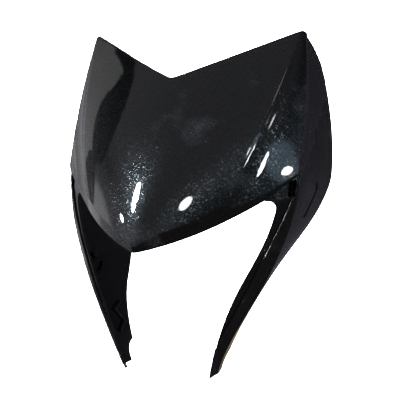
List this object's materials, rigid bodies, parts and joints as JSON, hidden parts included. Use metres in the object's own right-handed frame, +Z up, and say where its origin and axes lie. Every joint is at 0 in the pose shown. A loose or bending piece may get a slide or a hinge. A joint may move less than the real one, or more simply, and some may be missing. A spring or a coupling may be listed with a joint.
{
  "type": "motorbike headlight cowl",
  "caption": "Moulded motorbike headlight cowl: a prow-shaped hood with hollow side facets and two slim arms that frame the lamp opening, screwed on from behind.",
  "frame": {"origin": "midway between the two screw bosses, in the plane of their rear faces", "axes": "+Z up as mounted on the bike, +Y towards the rider, so the nose points to -Y, +X to the right seen from the front"},
  "size_m": [0.2618, 0.192, 0.312],
  "materials": {
    "gloss_black": "gloss black with fine metallic flake under a clear coat"
  },
  "bodies": {
    "root": {"cowl": "gloss_black"}
  },
  "joints": []
}
